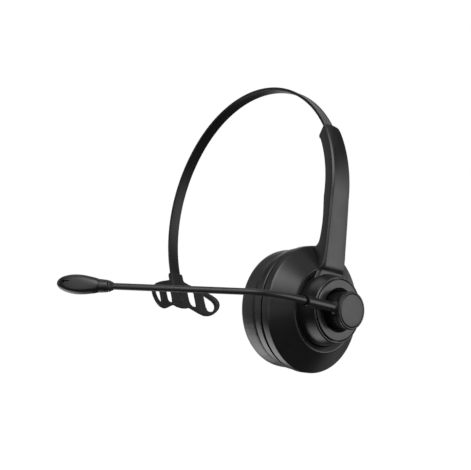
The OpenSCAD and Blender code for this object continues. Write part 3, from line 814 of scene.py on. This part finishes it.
def mic_capsule():
    """Flattened teardrop with a small port in its face and a grille on the mouth side."""
    outline = [
        (0, 3.05), (0.25, 3.2), (1.8, 3.62), (3.2, 3.87), (4.6, 4.1), (6.2, 4.35), (7.7, 4.52), (9.3, 4.6),
        (10.6, 4.6), (11.9, 4.52), (13.1, 4.38), (14.5, 4.1), (15.9, 3.72), (17.1, 3.27), (18.1, 2.75),
        (18.85, 2.17), (19.42, 1.55), (19.76, 0.98), (19.93, 0.5), (20.0, 0.12)
    ]
    rings = []
    for s, r in outline:
        ring = []
        for k in range(64):
            a = 2 * math.pi * k / 64
            x, y = r * math.cos(a), r * math.sin(a)
            flat = 3.45 * min(1, r / 3.0)
            x /= (1 + abs(x / flat) ** 5) ** (1 / 5)
            ring.append((x, y, s))
        rings.append(ring)
    o = finish_mesh("mic_capsule_shell", loft(rings, CAPSULE), 50)
    port = finish_mesh("tool", block((2.6, 0.5, 2.9), (-3.4, -0.75, 15.2), CAPSULE, 0.24, 4))
    dot = finish_mesh("tool", revolve([(0, -5), (0.62, -5), (0.62, -2.1), (0, -2.1)],
                                      CAPSULE @ move(0, -0.55, 16.25) @ turn(90, "Y"), 32, closed=False))
    # dark gauze behind the port, a near-black sheet that also paints the shade inside the opening, so that it reads
    # as an opening
    shade_gauze = block((0.5, 1.4, 4.6), (-2.55, -0.7, 15.2), CAPSULE, 0.1, 2)
    finished(finish_mesh("mic_port_shade_gauze", shade_gauze), "boom", "rubber")
    window = finish_mesh("tool", block((2.2, 5.4, 11), (3.75, 0, 9.5), CAPSULE, 0.9, 5))
    cut(o, [port, dot, window], 40)
    finished(o, "boom", "body_black", "mic_shell")
    finished(from_cad("mic_grille_plate", "mic_grille", 0.08), "boom", "steel", "mic_grille")


# ---------------------------------------------------------------- headband

def strap_section():
    """Strap section as (outward, y): a spring band with a raised bead along each edge of its outer face."""
    return rounded([
        (-0.8, -3.4, 0.3), (0.72, -3.4, 0.25), (0.8, -3.1, 0.2), (0.8, -2.5, 0.12), (0.52, -2.3,
                                                                                     0.12), (0.56, 0),
        (0.52, 2.3, 0.12), (0.8, 2.5, 0.12), (0.8, 3.1, 0.2), (0.72, 3.4, 0.25), (-0.8, 3.4, 0.3), (-0.8, 0)
    ], True, 3)


def headband():
    section = strap_section()
    rings = []

    def add(centre, radius, degrees):
        a = math.radians(degrees)
        rings.append([
            (centre.x + (radius + n) * math.cos(a), y,
             centre.y + (radius + n) * math.sin(a)) for n, y in section
        ])

    for i in range(81):
        add(ARCH, ARCH_R, 5.2 + (ARCH_TURN - 5.2) * i / 80)
    for i in range(1, 51):
        add(TAIL, TAIL_R, ARCH_TURN + (ARCH_END - ARCH_TURN) * i / 50)
    direction = TBAR.to_3x3() @ Vector((1, 0, 0))
    rings += [[Vector(p) + direction * step for p in rings[-1]] for step in (2, 7.6)]
    band = finish_mesh("headband_strap_band", loft(rings), 40)
    finished(band, "headband", "strap_black", "headband_strap")
    # only the outer face is polished and given the painted lighter colour; the inner face and the edges stay matt
    # and dark
    band.data.materials.append(STRAP_PAINTED_LIT_FACE)
    for p in band.data.polygons:
        outward = Vector((p.center.x / MM - ARCH.x, 0, p.center.z / MM - ARCH.y)).normalized()
        if outward.dot(p.normal) > 0.6:
            p.material_index = 1


def smooth_loop(points, per=5):
    """Closed smooth curve through the points."""
    out = []
    n = len(points)
    for i in range(n):
        p0, p1, p2, p3 = (Vector(points[(i + k - 1) % n]) for k in range(4))
        for j in range(per):
            t = j / per
            out.append(0.5 * ((2 * p1) + (p2 - p0) * t + (2 * p0 - 5 * p1 + 4 * p2 - p3) * t * t
                              + (3 * p1 - p0 - 3 * p2 + p3) * t ** 3))
    return out


def t_bar():
    """Soft rubber bar: a curled sheet with four slots and a sleeve for the strap, run together and softened."""
    side = [
        (-3.1, 4), (-2.5, 4.7), (0.2, 4.6), (1.4, 4.9), (2.4, 6), (3.6, 8.6), (5.6, 13.4), (7.8, 17.3), (10,
                                                                                                         20.8),
        (12.8, 23.7), (15.4, 24.9), (17.6, 25), (20, 24.3), (22.2, 22.6), (23.7, 20.3), (24.4, 17.6), (24.3,
                                                                                                       15.2),
        (23.5, 13), (21.8, 10), (20.2, 7.4), (19.6, 5.4), (20.2, 3.6), (20.5, 0)
    ]
    outline = [(x, y) for x, y in side] + [(x, -y) for x, y in reversed(side[:-1])]
    slot_a = [(6.2, 7.3), (6.8, 6.5), (11, 6.2), (16.4, 6.5), (18, 7.3), (18.7, 8.6), (18.6, 9.9), (17.5, 11),
              (11, 11.2), (8.2, 11.1), (6.7, 10)]
    slot_b = [(9.8, 17.1), (11, 16.7), (15, 16.5), (20.2, 16.7), (21.4, 17.2), (22.1, 18.4), (21.9, 19.9),
              (20.8, 21.4), (19, 22.5), (17, 22.8), (15, 22.2), (12.9, 20.5), (10.9, 18.5)]
    loops = [smooth_loop(outline, 4)]
    for s in (slot_a, slot_b):
        loops.append(smooth_loop(s, 4))
        loops.append(smooth_loop([(x, -y) for x, y in reversed(s)], 4))
    bm = bmesh.new()
    edges = []
    for loop_points in loops:
        vs = [bm.verts.new((p.x, p.y, 0)) for p in loop_points]
        edges += [bm.edges.new((a, b)) for a, b in zip(vs, vs[1:] + vs[:1])]
    bmesh.ops.triangle_fill(bm, edges=edges, use_beauty=True, use_dissolve=False)
    for k in range(-25, 26):
        bmesh.ops.bisect_plane(bm, geom=bm.verts[:] + bm.edges[:] + bm.faces[:], plane_co=(0, k, 0),
                               plane_no=(0, 1, 0))
    top = bmesh.ops.extrude_face_region(bm, geom=bm.faces[:])
    moved = {v for v in top["geom"] if isinstance(v, bmesh.types.BMVert)}
    for v in bm.verts:
        lift = CURL_R - math.sqrt(CURL_R ** 2 - v.co.y ** 2)
        half = 1 + 0.35 * min(max((abs(v.co.y) - 13) / 6, 0), 1)
        v.co.z = lift + (half if v in moved else -half)
    bmesh.ops.recalc_face_normals(bm, faces=bm.faces)
    sheet = finish_mesh("t_bar_rubber", bm, 180)
    sleeve_bm = block((12.5, 9.2, 3.8), (3.15, 0, 0), Matrix.Identity(4), 1.1, 4)
    sleeve = finish_mesh("sleeve", sleeve_bm, 180)
    bulge_bm = bmesh.new()
    bmesh.ops.create_uvsphere(bulge_bm, u_segments=32, v_segments=16, radius=1)
    bulge_bm.transform(move(11.5, 0, -0.1) @ Matrix.Diagonal((6.5, 4.2, 1.7, 1)))
    bulge = finish_mesh("bulge", bulge_bm, 180)
    joined = bmesh.new()
    for part in (sheet, sleeve, bulge):
        joined.from_mesh(part.data)
    joined.to_mesh(sheet.data)
    joined.free()
    bpy.data.objects.remove(sleeve)
    bpy.data.objects.remove(bulge)
    rough = sheet.modifiers.new("remesh", "REMESH")
    rough.mode = "VOXEL"
    rough.voxel_size = 0.34 * MM
    smooth = sheet.modifiers.new("smooth", "SMOOTH")
    smooth.factor = 0.5
    smooth.iterations = 5
    bpy.context.view_layer.update()
    apply_modifiers(sheet)
    sheet.data.transform(TBAR_M)
    for p in sheet.data.polygons:
        p.use_smooth = True
    slit = finish_mesh("tool", block((6, 7.2, 2.0), (-3.2, 0, 0), TBAR, 0.3, 2))
    cut(sheet, [slit], 50)
    finished(sheet, "headband", "tbar_rubber", "t_bar")


ear_cushion()
cushion_seam()
speaker_cloth()
front_ring()
cup_shells()
side_controls()
arm()
knob()
boom()
mic_capsule()
headband()
t_bar()

# CAD nodes that stay get their slot's finish
slot_of = {row["node"]: row["material_slot"] for row in frame["record"]["subparts"]}
for name, o in frame["nodes"].items():
    o.data.materials.clear()
    o.data.materials.append(FINISH[slot_of[name]])


# ---------------------------------------------------------------- floor, light

def pale_floor():
    bm = bmesh.new()
    bmesh.ops.create_grid(bm, x_segments=2, y_segments=2, size=30000)
    bm.transform(move(0, 0, -110))
    o = finish_mesh("floor", bm)
    m, nodes, links, shader = node_material("pale_floor")
    shader.inputs["Base Color"].default_value = (0.9, 0.9, 0.9, 1)
    shader.inputs["Emission Color"].default_value = (0.95, 0.95, 0.95, 1)
    shader.inputs["Emission Strength"].default_value = 1
    shader.inputs["Roughness"].default_value = 0.9
    shader.inputs["Specular IOR Level"].default_value = 0
    o.data.materials.append(m)
    o.visible_glossy = False
    o.visible_diffuse = False
    o.visible_shadow = False


# Direction of each soft panel, its inner and outer half angles in degrees, and its brightness
AMBIENT = 0.05
PANELS = (
    ((0.88, 0.46, 0.08), 5, 34, 2.2),
    ((0.48, 0.84, 0.15), 5, 32, 0.9),
    ((0.60, -0.52, 0.60), 4, 24, 4.4),
    ((0.30, -0.66, 0.68), 5, 30, 0.8),
    ((0.54, -0.84, 0.02), 5, 32, 1.1),
    ((-0.68, -0.05, -0.72), 8, 36, 2.6),
    ((-0.50, -0.20, 0.85), 5, 30, 0.4),
    ((-0.60, 0.70, 0.35), 5, 30, 0.35),
    ((-0.85, 0.42, 0.12), 5, 30, 0.6),
    ((-0.76, -0.63, 0.16), 5, 34, 0.5),
    ((-0.05, 0.93, -0.36), 5, 28, 0.2),
)


def softbox(name, place, target, size, power):
    light = bpy.data.lights.new(name, "AREA")
    light.shape = "RECTANGLE"
    light.size, light.size_y = size
    light.energy = power
    o = bpy.data.objects.new(name, light)
    bpy.context.scene.collection.objects.link(o)
    o.location = place
    o.rotation_euler = (Vector(target) - Vector(place)).to_track_quat("-Z", "Y").to_euler()
    return o


def light_the_scene():
    """A pale studio: white behind, and broad soft panels in the directions that the object reflects."""
    world = bpy.data.worlds.new("studio")
    bpy.context.scene.world = world
    world.use_nodes = True
    nodes, links = world.node_tree.nodes, world.node_tree.links
    back = nodes["Background"]
    back.inputs["Strength"].default_value = 1
    place = nodes.new("ShaderNodeTexCoord")
    total = None
    for direction, near, far, strength in PANELS:
        dot = nodes.new("ShaderNodeVectorMath")
        dot.operation = "DOT_PRODUCT"
        dot.inputs[1].default_value = Vector(direction).normalized()
        links.new(place.outputs["Generated"], dot.inputs[0])
        lobe = nodes.new("ShaderNodeMapRange")
        lobe.interpolation_type = "SMOOTHSTEP"
        lobe.inputs["From Min"].default_value = math.cos(math.radians(far))
        lobe.inputs["From Max"].default_value = math.cos(math.radians(near))
        lobe.inputs["To Min"].default_value = 0
        lobe.inputs["To Max"].default_value = strength
        links.new(dot.outputs["Value"], lobe.inputs["Value"])
        add = nodes.new("ShaderNodeMath")
        add.operation = "ADD"
        links.new(lobe.outputs["Result"], add.inputs[0])
        if total:
            links.new(total, add.inputs[1])
        else:
            add.inputs[1].default_value = AMBIENT
        total = add.outputs[0]
    seen = nodes.new("ShaderNodeLightPath")
    choose = nodes.new("ShaderNodeMix")
    choose.data_type = "RGBA"
    choose.inputs["B"].default_value = (1, 1, 1, 1)
    links.new(seen.outputs["Is Camera Ray"], choose.inputs["Factor"])
    links.new(total, choose.inputs["A"])
    links.new(choose.outputs["Result"], back.inputs["Color"])
    softbox("overhead", (0, 0, 6), (0, 0, 0), (9, 9), 110)
    bpy.context.scene.view_settings.view_transform = "Standard"


pale_floor()
light_the_scene()
